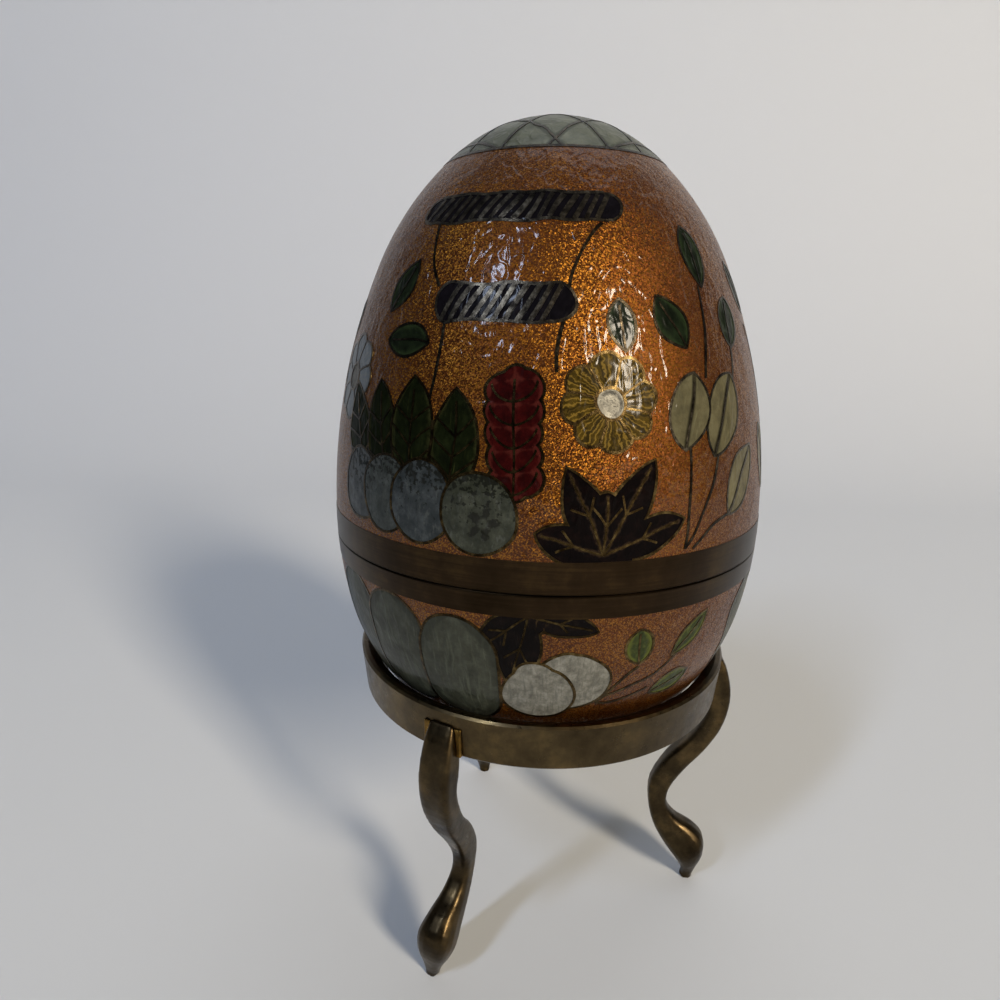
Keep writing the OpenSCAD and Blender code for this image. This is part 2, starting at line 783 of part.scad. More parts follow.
// Ring inside the wall that makes one piece of the bands below and above the shoulder
tie_h = 0.3;
tie_w = 0.7;
module shoulder_tie() {
  shoulder = arcs[3];
  r = shoulder[1] - cell_depth;
  middle_r = shoulder[0].x + r * cos(shoulder[2]) - (shell_t - cell_depth) / 2;
  rotate_extrude($fn = round_fn)
    translate([middle_r - tie_w / 2, end_z(shoulder, r, shoulder[2]) - tie_h])
      square([tie_w, 2 * tie_h]);
}
module lid_shell() {
  low_z = seam_z + seam_gap / 2;
  color(brass) difference() {
    union() {
      skin(0, shell_t, low_z, band_top_z);
      skin(cell_depth, shell_t, band_top_z, egg_top_z + 1);
      shoulder_tie();
    }
    bevel_cut(low_z, 1);
  }
}
module cap_zone() {
  skin(enamel_dip, cell_depth, cap_z + cell_wall / 2, egg_top_z + 1);
}
module lid_cell_walls() {
  color(brass) each_side() intersection() {
    lid_cells(lid_span);
    union() {
      for (i = [0:3]) {
        fruit_seen(i, "brass");
        tuft_seen(i, "brass");
      }
      plume_seen("brass");
      flower_seen("brass");
      maple("brass");
    }
  }
}
module lid_leaf_walls() {
  color(brass) each_side() intersection() {
    lid_cells(lid_span);
    union() {
      leaf_set(spray_leaves, "brass");
      sage_seen("brass");
      vase_lines_seen();
      stem_lines_seen();
    }
  }
}
module lid_rope_walls() {
  color(brass) each_side() intersection() {
    lid_cells(lid_span);
    union() {
      rope_brass(upper_rope);
      rope_brass(lower_rope);
    }
  }
}
module lid_cap_lattice() {
  color(brass) {
    skin(0, cell_depth, cap_z - cell_wall / 2, cap_z + cell_wall / 2);
    intersection() {
      skin(0, cell_depth, cap_z, egg_top_z + 1);
      cap_lattice();
    }
  }
}
// Fine gap that the fired ground leaves over the floor of its cells
ground_gap = 0.02;
module lid_ground_enamel() {
  color(copper_glitter) difference() {
    skin(enamel_dip, cell_depth - ground_gap, band_top_z, cap_z - cell_wall / 2);
    lid_outlines();
  }
}
module lid_cap_enamel() {
  color("#8f968c") difference() {
    cap_zone();
    cap_lattice();
  }
}
// Enamel of one colour, cut to the lid's cells on both sides
module lid_enamel(tint) {
  color(tint) each_side() intersection() {
    lid_fill(lid_span);
    union() children();
  }
}
module lid_rope_enamel() {
  lid_enamel("#17151a") {
    rope_enamel(upper_rope);
    rope_enamel(lower_rope);
  }
}
module lid_tuft_leaf_enamel() {
  lid_enamel("#27301c") for (i = [0:3]) tuft_seen(i, "enamel");
}
module lid_spray_leaf_enamel() {
  lid_enamel("#2c3d26") leaf_set(spray_leaves, "enamel");
}
module lid_sage_leaf_enamel() {
  lid_enamel("#7d8468") sage_seen("enamel");
}
module lid_yellow_flower_enamel() {
  lid_enamel("#8a7420") flower_seen("enamel");
}
module lid_flower_heart() {
  lid_enamel("#b9b9b4") flower_hearts();
}
module lid_red_plume_enamel() {
  lid_enamel("#4a0d12") plume_seen("enamel");
}
module lid_maple_leaf_enamel() {
  lid_enamel("#1d1014") maple("enamel");
}
module lid_white_fruit_enamel() {
  lid_enamel("#b9bcbc") fruit_seen(3, "enamel");
}
module lid_grey_fruit_enamel() {
  lid_enamel("#9aa096") fruit_seen(2, "enamel");
}
module lid_blue_fruit_enamel() {
  lid_enamel("#8a949c") fruit_seen(1, "enamel");
}
module lid_green_fruit_enamel() {
  lid_enamel("#8c9482") fruit_seen(0, "enamel");
}

stand_ring();
leg_front_left();
leg_right();
leg_back();
leg_brazing();
base_shell();
base_collar();
base_cell_walls();
base_ground_enamel();
base_pale_petal_enamel();
base_dark_leaf_enamel();
base_white_flower_enamel();
base_green_leaf_enamel();
lid_shell();
lid_cell_walls();
lid_leaf_walls();
lid_rope_walls();
lid_cap_lattice();
lid_ground_enamel();
lid_cap_enamel();
lid_rope_enamel();
lid_tuft_leaf_enamel();
lid_spray_leaf_enamel();
lid_sage_leaf_enamel();
lid_yellow_flower_enamel();
lid_flower_heart();
lid_red_plume_enamel();
lid_maple_leaf_enamel();
lid_white_fruit_enamel();
lid_grey_fruit_enamel();
lid_blue_fruit_enamel();
lid_green_fruit_enamel();
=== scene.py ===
# Enamelled brass egg box on its ring stand: finishes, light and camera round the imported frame.
import json
import math
import numpy as np
import bpy
import bmesh
from mathutils import Matrix, Vector


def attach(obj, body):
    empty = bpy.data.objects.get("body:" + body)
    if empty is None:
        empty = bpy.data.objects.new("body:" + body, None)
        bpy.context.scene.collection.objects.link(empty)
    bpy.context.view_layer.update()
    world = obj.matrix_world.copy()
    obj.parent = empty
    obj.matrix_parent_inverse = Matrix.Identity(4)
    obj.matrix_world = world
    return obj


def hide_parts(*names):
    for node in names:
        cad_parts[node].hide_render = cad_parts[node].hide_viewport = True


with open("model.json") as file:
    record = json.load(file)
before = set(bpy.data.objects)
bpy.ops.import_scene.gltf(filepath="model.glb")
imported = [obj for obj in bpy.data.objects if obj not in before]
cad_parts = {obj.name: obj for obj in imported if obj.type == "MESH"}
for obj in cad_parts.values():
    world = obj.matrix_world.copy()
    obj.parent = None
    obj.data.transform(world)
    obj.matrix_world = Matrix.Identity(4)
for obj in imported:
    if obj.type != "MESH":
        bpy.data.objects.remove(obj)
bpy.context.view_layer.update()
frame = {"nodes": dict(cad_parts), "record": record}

mm = 0.001
nodes = frame["nodes"]
record = frame["record"]
scene = bpy.context.scene
bodyOf = {node: body for body, members in record["behaviour"]["bodies"].items() for node in members}
print("frame loaded:", len(nodes), "nodes")


def linearColour(hexText):  # sRGB hex to the linear numbers that a shader takes
    parts = [int(hexText[i:i + 2], 16) / 255 for i in (1, 3, 5)]
    return [p / 12.92 if p <= 0.04045 else ((p + 0.055) / 1.055) ** 2.4 for p in parts] + [1.0]


def perMetre(sizeInMm):  # texture scale whose features are about this size
    return 1 / (sizeInMm * mm)


def addNode(tree, kind, settings=None, links=()):
    # settings are properties or input values; links are (input, source node, its output)
    node = tree.nodes.new("ShaderNode" + kind)
    for key, value in (settings or {}).items():
        if key == "stops":
            ramp = node.color_ramp
            while len(ramp.elements) < len(value):
                ramp.elements.new(0.5)
            for element, (place, colour) in zip(ramp.elements, value):
                element.position = place
                element.color = linearColour(colour)
        elif isinstance(key, str) and hasattr(node, key):
            setattr(node, key, value)
        else:
            node.inputs[key].default_value = value
    for socket, source, output in links:
        tree.links.new(source.outputs[output], node.inputs[socket])
    return node


def newMaterial(name):
    material = bpy.data.materials.new(name)
    material.use_nodes = True
    material.node_tree.nodes.clear()
    return material, material.node_tree


def selectOnly(piece):
    if bpy.context.object and bpy.context.object.mode != "OBJECT":
        bpy.ops.object.mode_set(mode="OBJECT")
    bpy.ops.object.select_all(action="DESELECT")
    piece.select_set(True)
    bpy.context.view_layer.objects.active = piece


# The egg's outline is a chain of arcs that join smoothly, in millimetres and degrees of slope
eggOutline = {"radius": 37.5, "widest": 80, "flank": 103, "flankEnd": 23.5, "shoulder": 47,
              "shoulderEnd": 50.5, "lower": 69, "lowerEnd": 12}


def outlineArcs(egg):  # each arc: centre radius, centre height, arc radius, lowest and highest slope
    flankX, flankZ = egg["radius"] - egg["flank"], egg["widest"]
    bend = math.radians(egg["flankEnd"])
    shoulderX = flankX + (egg["flank"] - egg["shoulder"]) * math.cos(bend)
    shoulderZ = flankZ + (egg["flank"] - egg["shoulder"]) * math.sin(bend)
    top = math.radians(egg["shoulderEnd"])
    tip = egg["shoulder"] + shoulderX / math.cos(top)
    tipZ = shoulderZ + (egg["shoulder"] - tip) * math.sin(top)
    lowerX, foot = egg["radius"] - egg["lower"], math.radians(egg["lowerEnd"])
    bottom = egg["lower"] + lowerX / math.cos(foot)
    bottomZ = egg["widest"] - (egg["lower"] - bottom) * math.sin(foot)
    return [(0, bottomZ, bottom, -math.pi / 2, -foot), (lowerX, egg["widest"], egg["lower"], -foot, 0),
            (flankX, flankZ, egg["flank"], 0, bend), (shoulderX, shoulderZ, egg["shoulder"], bend, top),
            (0, tipZ, tip, top, math.pi / 2)]


skinSpan = (36, 142)  # heights between which the skin's slope is worked out, in millimetres


def skinAt(height):  # radius and slope of the egg's skin at a height
    for x, z, arc, low, high in outlineArcs(eggOutline):
        if z + arc * math.sin(low) <= height <= z + arc * math.sin(high):
            slope = math.asin((height - z) / arc)
            return x + arc * math.cos(slope), slope
    raise ValueError("no skin at this height")


def motifAxes(direction, height, turn):  # centre, rightward and upward axis of a motif on the skin
    radius, slope = skinAt(height)
    around, spin = math.radians(direction), math.radians(turn)
    outward = Vector((math.cos(around), math.sin(around), 0))
    right = Vector((-math.sin(around), math.cos(around), 0))
    up = Vector((0, 0, math.cos(slope))) - outward * math.sin(slope)
    centre = (outward * radius + Vector((0, 0, height))) * mm
    return centre, right * math.cos(spin) + up * math.sin(spin), up * math.cos(spin) - right * math.sin(spin)


# Where the motifs sit, as (direction, height, turn, width, length) in degrees and millimetres
fruitPlaces = {"lid_green_fruit_enamel": (-103.6, 87.8, 0, 10.4, 10.8),
               "lid_blue_fruit_enamel": (-117.6, 88.5, 0, 9.8, 11.4),
               "lid_grey_fruit_enamel": (-128.2, 88.6, 0, 9.8, 10.8),
               "lid_white_fruit_enamel": (-138, 88.9, 0, 9.6, 10.4)}
motifPlaces = {
    "lid_tuft_leaf_enamel": [(-109.9, 96.6, 0, 6.8, 14.8), (-121.2, 97.4, 2, 7.4, 16),
                             (-130.6, 96.8, 14, 6.6, 15), (-140.5, 96.6, 22, 6.4, 15)],
    "lid_red_plume_enamel": [(-96.6, 98.6, 3, 7.2, 17.2)],
    "lid_yellow_flower_enamel": [(-76.3, 102.8, 8, 12.6, 12.6), (-149.5, 104.2, 0, 12.6, 12.6)],
    "lid_flower_heart": [(-76.3, 102.8, 8, 3.8, 3.8), (-149.5, 104.2, 0, 3.8, 3.8)],
    "lid_maple_leaf_enamel": [(-77.4, 82.9, 0, 24, 14)],
    "lid_spray_leaf_enamel": [(-72.8, 112.4, 2, 3.3, 6.8), (-59.4, 112.9, 32, 4.5, 7.8),
                              (-47, 121.9, 6, 4, 9), (-36.8, 113, -6, 4.6, 6.8), (-126.4, 110, 88, 4.2, 7.8),
                              (-132.8, 117.3, -24, 3.4, 8), (-22, 118, 24, 4.2, 8), (-12, 103, -20, 4.4, 8.6),
                              (16, 112, -28, 4.4, 8)],
    "lid_sage_leaf_enamel": [(-56.3, 101.5, -14, 6.6, 10.4), (-45.3, 100.6, -26, 7, 12),
                             (-39, 90.9, -36, 5.8, 11.4), (-20, 92.5, 18, 6.2, 11), (4, 96, 12, 6.6, 12)],
    "base_pale_petal_enamel": [(-109.4, 62.4, 0, 12, 20), (-127.5, 63.4, 4, 12, 20), (-144, 64, 8, 12, 20)],
    "base_dark_leaf_enamel": [(-92.5, 73.9, 0, 18, 20)],
    "base_white_flower_enamel": [(-89.8, 60.4, 0, 10.4, 10.4), (-81.6, 62.4, 0, 10.2, 10.2)],
    "base_green_leaf_enamel": [(-66.8, 68.2, 10, 4, 5.6), (-52.6, 68.6, -42, 3.4, 8.4),
                               (-54.6, 60, -66, 4, 7)],
}
motifPlaces.update({node: [place] for node, place in fruitPlaces.items()})
repeatsOf = {"egg_lid": 2, "egg_base": 3}  # how often each picture is worked round the egg


def placesRound(node):
    repeats = repeatsOf[bodyOf[node]]
    return [(direction + 360 * turn / repeats, *rest)
            for direction, *rest in motifPlaces[node] for turn in range(repeats)]


weldMm = 0.002  # corners closer than this are one corner


def mergedCopy(node):  # a CAD node's own shape, as one welded mesh that may be worked on
    piece = nodes[node].copy()
    piece.data = nodes[node].data.copy()
    piece.name = node + "_finished"
    piece.parent = None
    piece.matrix_world = Matrix.Identity(4)
    scene.collection.objects.link(piece)
    selectOnly(piece)
    bpy.ops.object.mode_set(mode="EDIT")
    bpy.ops.mesh.select_all(action="SELECT")
    bpy.ops.mesh.remove_doubles(threshold=weldMm * mm)
    bpy.ops.object.mode_set(mode="OBJECT")
    bpy.ops.mesh.customdata_custom_splitnormals_clear()
    return piece


# Hand work: every drawn line wanders a little, and all nodes of the egg's skin move with the same waves.
# Each wave: cycles round the egg, cycles per 100 mm of height, phase. It fades out at the listed heights.
# Edges that turn by more degrees than "sharpAbove" stay sharp
handLook = {"swingMm": 0.1, "around": [(19, 5, 0.4), (27, -7, 2.1), (11, 9, 4.4)],
            "upward": [(21, -6, 1.2), (15, 9, 3.3), (29, 3, 5.0)], "stills": (46, 73.6, 81.9, 136.5, 144.2),
            "fadeMm": 3, "slopeSteps": 400, "sharpAbove": 30}


def drawnByHand(piece, look):
    count = len(piece.data.vertices)
    places = np.empty(count * 3)
    piece.data.vertices.foreach_get("co", places)
    x, y, z = places.reshape(-1, 3).T / mm
    around, radius = np.arctan2(y, x), np.hypot(x, y)
    still = np.min([np.abs(z - height) for height in look["stills"]], axis=0)
    swing = look["swingMm"] * np.clip(still / look["fadeMm"], 0, 1)
    sideways, upward = (swing * sum(np.sin(cycles * around + 2 * np.pi * rise * z / 100 + phase)
                                    for cycles, rise, phase in look[key]) for key in ("around", "upward"))
    heights = np.linspace(z.min() - 1, z.max() + 1, look["slopeSteps"])
    slopes = [skinAt(height)[1] for height in np.clip(heights, *skinSpan)]
    slope = np.interp(z, heights, slopes)
    around = around + sideways / np.maximum(radius, 1)
    radius = radius - upward * np.sin(slope)
    moved = [radius * np.cos(around), radius * np.sin(around), z + upward * np.cos(slope)]
    piece.data.vertices.foreach_set("co", (np.stack(moved, axis=1) * mm).ravel())
    piece.data.update()
    selectOnly(piece)
    bpy.ops.object.shade_smooth_by_angle(angle=math.radians(look["sharpAbove"]))


def islandsOf(mesh):  # groups of faces that hang together
    work = bmesh.new()
    work.from_mesh(mesh)
    work.faces.ensure_lookup_table()
    unseen = set(range(len(work.faces)))
    groups = []
    while unseen:
        front, group = [unseen.pop()], []
        while front:
            face = front.pop()
            group.append(face)
            for edge in work.faces[face].edges:
                for other in edge.link_faces:
                    if other.index in unseen:
                        unseen.remove(other.index)
                        front.append(other.index)
        groups.append(group)
    work.free()
    return groups


motifReachMm = 20  # no cell's middle is farther than this from its motif's centre


def chartMotifs(piece, places):
    # UV map "motif": each cell is charted on its own motif, 0.5 at the centre, 0 and 1 at its ends.
    # Face attribute "motifNumber": which of the places the motif stands at
    mesh = piece.data
    axes = [motifAxes(*place[:3]) + (place[3] * mm, place[4] * mm) for place in places]
    while mesh.uv_layers:
        mesh.uv_layers.remove(mesh.uv_layers[0])
    chart = mesh.uv_layers.new(name="motif")
    mesh.attributes.new("motifNumber", "FLOAT", "FACE")
    numbers = np.zeros(len(mesh.polygons))
    for group in islandsOf(mesh):
        points = [mesh.vertices[v].co for face in group for v in mesh.polygons[face].vertices]
        middle = sum(points, Vector()) / len(points)
        best = None
        for number, (centre, right, up, width, length) in enumerate(axes):
            offset = middle - centre
            if centre.dot(middle) > 0 and offset.length < motifReachMm * mm:
                reach = math.hypot(offset.dot(right) / width, offset.dot(up) / length)
                if best is None or reach < best[0]:
                    best = (reach, number, centre, right, up, width, length)
        _, number, centre, right, up, width, length = best
        numbers[group] = number
        for face in group:
            for loop in mesh.polygons[face].loop_indices:
                offset = mesh.vertices[mesh.loops[loop].vertex_index].co - centre
                chart.data[loop].uv = (offset.dot(right) / width + 0.5, offset.dot(up) / length + 0.5)
    mesh.attributes["motifNumber"].data.foreach_set("value", numbers)


def takeFinish(piece, finish, node):  # finish and body for a piece that stands for a CAD node, whose node is then hidden
    piece.data.materials.clear()
    piece.data.materials.append(finish)
    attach(piece, bodyOf[node])
    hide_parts(node)


# Small groups of texture nodes that the finishes below share
def clouds(tree, place, sizeMm, detail=4, roughness=0.6, output="Object"):
    return addNode(tree, "TexNoise", {"Scale": perMetre(sizeMm), "Detail": detail, "Roughness": roughness},
                   [("Vector", place, output)])


def stepMask(tree, source, output, low, high, flip=False):
    ends = {"To Min": 1.0, "To Max": 0.0} if flip else {}
    settings = {"interpolation_type": "SMOOTHSTEP", "From Min": low, "From Max": high, **ends}
    return addNode(tree, "MapRange", settings, [("Value", source, output)])


def mixOver(tree, mask, under, hexText, amount=1.0):  # lays one colour over another where the mask is
    scaled = addNode(tree, "Math", {"operation": "MULTIPLY", 1: amount}, [(0, mask, 0)])
    top = addNode(tree, "Mix", {"data_type": "RGBA", 7: linearColour(hexText)}, [(0, scaled, 0)])
    tree.links.new(under[0].outputs[under[1]], top.inputs[6])
    return top, 2


def layDetail(tree, under, look, source, output, low, high, flip=False):
    # a detail's own colour over the enamel's, where the source runs from low to high
    mask = stepMask(tree, source, output, low, high, flip)
    return mixOver(tree, mask, under, look["colour"], look["amount"])


def nearerOf(tree, nearest, gap):  # the smaller of two distances, each as (node, output)
    if nearest is None:
        return gap
    return addNode(tree, "Math", {"operation": "MINIMUM"}, [(0, *nearest), (1, *gap)]), 0


def chartParts(tree):  # across and along a motif, both 0 at its centre
    chart = addNode(tree, "UVMap", {"uv_map": "motif"})
    centred = addNode(tree, "VectorMath", {"operation": "SUBTRACT", 1: (0.5, 0.5, 0)}, [(0, chart, "UV")])
    parts = addNode(tree, "SeparateXYZ", {}, [(0, centred, 0)])
    return centred, parts


# Lacquer skin: slow ripples from the grinding, and long thin creases that cross and catch the light
coatLook = {"rippleMm": 4.5, "rippleDepth": 0.42, "creaseMm": 3.0, "creaseDepth": 0.045, "creaseWidth": 0.06,
            "stretch": 0.3, "turns": [(0.2, 0.9, 0.4), (-0.7, 0.3, 1.3)]}


def coatSurface(tree, place, look, depth=1.0):
    slow = addNode(tree, "TexNoise", {"Scale": perMetre(look["rippleMm"]), "Detail": 2, "Distortion": 0.8},
                   [("Vector", place, "Object")])
    bump = addNode(tree, "Bump", {"Strength": depth, "Distance": look["rippleDepth"] * mm},
                   [("Height", slow, "Fac")])
    for turn in look["turns"]:
        drawn = addNode(tree, "Mapping", {"Rotation": turn, "Scale": (1, 1, look["stretch"])},
                        [("Vector", place, "Object")])
        field = addNode(tree, "TexNoise", {"Scale": perMetre(look["creaseMm"]), "Detail": 1},
                        [("Vector", drawn, "Vector")])
        away = addNode(tree, "Math", {"operation": "SUBTRACT", 1: 0.5}, [(0, field, "Fac")])
        off = addNode(tree, "Math", {"operation": "ABSOLUTE"}, [(0, away, 0)])
        fold = stepMask(tree, off, 0, 0, look["creaseWidth"], flip=True)
        bump = addNode(tree, "Bump", {"Strength": depth, "Distance": look["creaseDepth"] * mm},
                       [("Height", fold, 0), ("Normal", bump, "Normal")])
    return bump


# Cast brass, brown with age: soft clouds of patina, a rubbed tone, fine casting grain under a dull wax gloss
castBrassLook = {"dark": "#3a3020", "mid": "#534630", "rubbed": "#75623f", "cloudMm": 9, "grainMm": 0.3,
                 "smearMm": 1.6, "roughness": 0.3, "bump": 0.1}


def castBrass(name, look):
    material, tree = newMaterial(name)
    place = addNode(tree, "TexCoord")
    patina = clouds(tree, place, look["cloudMm"], 7, 0.65)
    stops = [(0.33, look["dark"]), (0.52, look["mid"]), (0.72, look["rubbed"])]
    colour = addNode(tree, "ValToRGB", {"stops": stops}, [("Fac", patina, "Fac")])
    grain = clouds(tree, place, look["grainMm"], 3)
    smear = clouds(tree, place, look["smearMm"], 8, 0.7)
    gloss = addNode(tree, "MapRange", {"From Min": 0.3, "From Max": 0.7, "To Min": look["roughness"] - 0.07,
                                       "To Max": look["roughness"] + 0.15}, [("Value", smear, "Fac")])
    bump = addNode(tree, "Bump", {"Strength": look["bump"], "Distance": 0.1 * mm}, [("Height", grain, "Fac")])
    if "rim" in look:  # raised rim of a round button
        out = addNode(tree, "VectorMath", {"operation": "LENGTH"}, [(0, chartParts(tree)[0], 0)])
        raised = stepMask(tree, out, "Value", *look["rim"])
        bump = addNode(tree, "Bump", {"Distance": look["rimMm"] * mm},
                       [("Height", raised, 0), ("Normal", bump, 0)])
    shader = addNode(tree, "BsdfPrincipled", {"Metallic": 1.0},
                     [("Base Color", colour, "Color"), ("Roughness", gloss, "Result"),
                      ("Normal", bump, "Normal")])
    addNode(tree, "OutputMaterial", {}, [("Surface", shader, "BSDF")])
    return material


# Filed brass of the cell walls: nearly black with grime, golden where the attribute "rubbed" says so
wallBrassLook = {"grimy": ["#0d0a06", "#1d170e", "#44371f"], "golden": ["#3a2c15", "#77613a", "#b39a66"],
                 "cloudMm": 1.3, "filedMm": 0.25, "roughness": 0.32, "bump": 0.35}


def wallBrass(name, look):
    material, tree = newMaterial(name)
    place = addNode(tree, "TexCoord")
    patina = clouds(tree, place, look["cloudMm"], 6, 0.7)
    tones = [addNode(tree, "ValToRGB", {"stops": list(zip((0.36, 0.52, 0.68), look[state]))},
                     [("Fac", patina, "Fac")]) for state in ("grimy", "golden")]
    rubbed = addNode(tree, "Attribute", {"attribute_name": "rubbed"})
    colour = addNode(tree, "Mix", {"data_type": "RGBA"},
                     [(0, rubbed, "Fac"), (6, tones[0], "Color"), (7, tones[1], "Color")])
    filed = clouds(tree, place, look["filedMm"], 3)
    bump = addNode(tree, "Bump", {"Strength": look["bump"], "Distance": 0.1 * mm}, [("Height", filed, "Fac")])
    shader = addNode(tree, "BsdfPrincipled", {"Metallic": 1.0, "Roughness": look["roughness"]},
                     [("Base Color", colour, 2), ("Normal", bump, "Normal")])
    addNode(tree, "OutputMaterial", {}, [("Surface", shader, "BSDF")])
    return material


# How far round a motif its walls are rubbed, as shares of its width and length, and the limit in millimetres
rubbedReach = {"end": 0.72, "fade": 0.08, "limitMm": 14}


def chartRubbed(piece, shares, plain):
    # point attribute "rubbed": each listed motif's own share on the walls round it, else the plain share
    axes = [motifAxes(*place[:3]) + (place[3] * mm, place[4] * mm, share)
            for motif, share in shares.items() for place in placesRound(motif)]
    golden = piece.data.attributes.new("rubbed", "FLOAT", "POINT")
    for vertex, value in zip(piece.data.vertices, golden.data):
        near = plain
        for centre, right, up, width, length, share in axes:
            offset = vertex.co - centre
            if offset.length < rubbedReach["limitMm"] * mm:
                reach = math.hypot(offset.dot(right) / width, offset.dot(up) / length)
                near = max(near, share * min(1, (rubbedReach["end"] - reach) / rubbedReach["fade"]))
        value.value = near


# Turned brass of the plain band: marks run round the egg, and grime lies in streaks and beside the joint
turnedBrassLook = {"dark": "#231a0f", "mid": "#33271a", "bright": "#4b3b24", "grime": "#1a140b",
                   "turnMm": 0.4, "stretch": 0.03, "cloudMm": 10, "roughness": 0.34, "bump": 0.12,
                   "joint": 77, "grimeReach": 0.5}


def turnedBrass(name, look):
    material, tree = newMaterial(name)
    place = addNode(tree, "TexCoord")
    stretched = addNode(tree, "Mapping", {"Scale": (look["stretch"], look["stretch"], 1.0)},
                        [("Vector", place, "Object")])
    turning = clouds(tree, stretched, look["turnMm"], 4, 0.7, "Vector")
    patina = clouds(tree, place, look["cloudMm"], 6, 0.65)
    both = addNode(tree, "Mix", {"data_type": "FLOAT", 0: 0.3}, [(2, patina, "Fac"), (3, turning, "Fac")])
    stops = [(0.34, look["dark"]), (0.52, look["mid"]), (0.68, look["bright"])]
    colour = addNode(tree, "ValToRGB", {"stops": stops}, [("Fac", both, 0)])
    height = addNode(tree, "SeparateXYZ", {}, [(0, place, "Object")])
    away = addNode(tree, "Math", {"operation": "SUBTRACT", 1: look["joint"] * mm}, [(0, height, "Z")])
    distance = addNode(tree, "Math", {"operation": "ABSOLUTE"}, [(0, away, 0)])
    near = stepMask(tree, distance, 0, 0, look["grimeReach"] * mm, flip=True)
    grimy = mixOver(tree, near, (colour, "Color"), look["grime"], 0.75)
    bump = addNode(tree, "Bump", {"Strength": look["bump"], "Distance": 0.04 * mm},
                   [("Height", turning, "Fac")])
    shader = addNode(tree, "BsdfPrincipled", {"Metallic": 1.0, "Roughness": look["roughness"]},
                     [("Base Color", *grimy), ("Normal", bump, "Normal")])
    addNode(tree, "OutputMaterial", {}, [("Surface", shader, "BSDF")])
    return material


# Clear fired enamel over copper flecks: each fleck is a small mirror with its own lean, under a glossy skin.
# Towards the bottom, where the egg sits in the ring, a dark red reflection is painted over the flecks
glitterLook = {"deep": "#401f03", "amber": "#643405", "gold": "#8f5f16", "reflectedRed": "#411305", "fleckMm": 0.15,
               "cloudMm": 12, "lean": 0.26, "reflectedRedTop": 58, "reflectedRedReach": 9}


def copperGlitterEnamel(name, look):
    material, tree = newMaterial(name)
    place = addNode(tree, "TexCoord")
    fleck = addNode(tree, "TexVoronoi", {"Scale": perMetre(look["fleckMm"])}, [("Vector", place, "Object")])
    pick = addNode(tree, "SeparateColor", {}, [("Color", fleck, "Color")])
    drift = clouds(tree, place, look["cloudMm"])
    shift = addNode(tree, "Math", {"operation": "MULTIPLY_ADD", 1: 0.7, 2: -0.35}, [(0, drift, "Fac")])
    tone = addNode(tree, "Math", {"operation": "ADD", "use_clamp": True}, [(0, pick, "Red"), (1, shift, 0)])
    stops = [(0.0, look["deep"]), (0.6, look["amber"]), (1.0, look["gold"])]
    colour = addNode(tree, "ValToRGB", {"stops": stops}, [("Fac", tone, 0)])
    # Painted reflection: dark red over the glitter below the lower height, fading out by the upper one
    height = addNode(tree, "SeparateXYZ", {}, [(0, place, "Object")])
    reflectedRedFoot = look["reflectedRedTop"] - look["reflectedRedReach"]
    low = stepMask(tree, height, "Z", reflectedRedFoot * mm, look["reflectedRedTop"] * mm, flip=True)
    redder = mixOver(tree, low, (colour, "Color"), look["reflectedRed"], 0.6)
    lean = addNode(tree, "VectorMath", {"operation": "MULTIPLY_ADD", 1: [2 * look["lean"]] * 3,
                                        2: [-look["lean"]] * 3}, [(0, fleck, "Color")])
    face = addNode(tree, "NewGeometry")
    leaning = addNode(tree, "VectorMath", {"operation": "ADD"}, [(0, face, "Normal"), (1, lean, 0)])
    fleckNormal = addNode(tree, "VectorMath", {"operation": "NORMALIZE"}, [(0, leaning, 0)])
    coat = coatSurface(tree, place, coatLook)
    shader = addNode(tree, "BsdfPrincipled", {"Metallic": 0.85, "Roughness": 0.46, "Coat Weight": 0.36,
                                              "Coat Roughness": 0.11, "Coat IOR": 1.5},
                     [("Base Color", *redder), ("Normal", fleckNormal, 0), ("Coat Normal", coat, "Normal")])
    addNode(tree, "OutputMaterial", {}, [("Surface", shader, "BSDF")])
    return material


# Details that an enamel may carry: each takes the colour so far and returns it with the detail laid over.
# Their edges are ragged by hand, with waves of these sizes, and a leaf's half width is a share of its chart
wanderMm = {"leaf": 0.8, "blossom": 0.5, "flower": 0.8, "lattice": 0.9, "vein": 0.7, "scale": 0.9}
leafHalf = {"middle": 0.52, "taper": 1.9}


def leafRim(tree, place, under, look):  # another tone towards the leaf's edge, where the enamel is thin
    _, parts = chartParts(tree)
    across = addNode(tree, "Math", {"operation": "ABSOLUTE"}, [(0, parts, "X")])
    along = addNode(tree, "Math", {"operation": "MULTIPLY"}, [(0, parts, "Y"), (1, parts, "Y")])
    room = addNode(tree, "Math", {"operation": "MULTIPLY_ADD", 1: -leafHalf["taper"], 2: leafHalf["middle"]},
                   [(0, along, 0)])
    reach = addNode(tree, "Math", {"operation": "DIVIDE"}, [(0, across, 0), (1, room, 0)])
    wander = clouds(tree, place, wanderMm["leaf"], 3)
    bent = addNode(tree, "Math", {"operation": "MULTIPLY_ADD", 1: 0.5, 2: -0.25}, [(0, wander, "Fac")])
    edge = addNode(tree, "Math", {"operation": "ADD"}, [(0, reach, 0), (1, bent, 0)])
    return layDetail(tree, under, look, edge, 0, look["from"], look["to"])


def midline(tree, place, under, look):  # thin line up the middle of a motif
    _, parts = chartParts(tree)
    across = addNode(tree, "Math", {"operation": "ABSOLUTE"}, [(0, parts, "X")])
    return layDetail(tree, under, look, across, 0, look["half"] * 0.4, look["half"], flip=True)


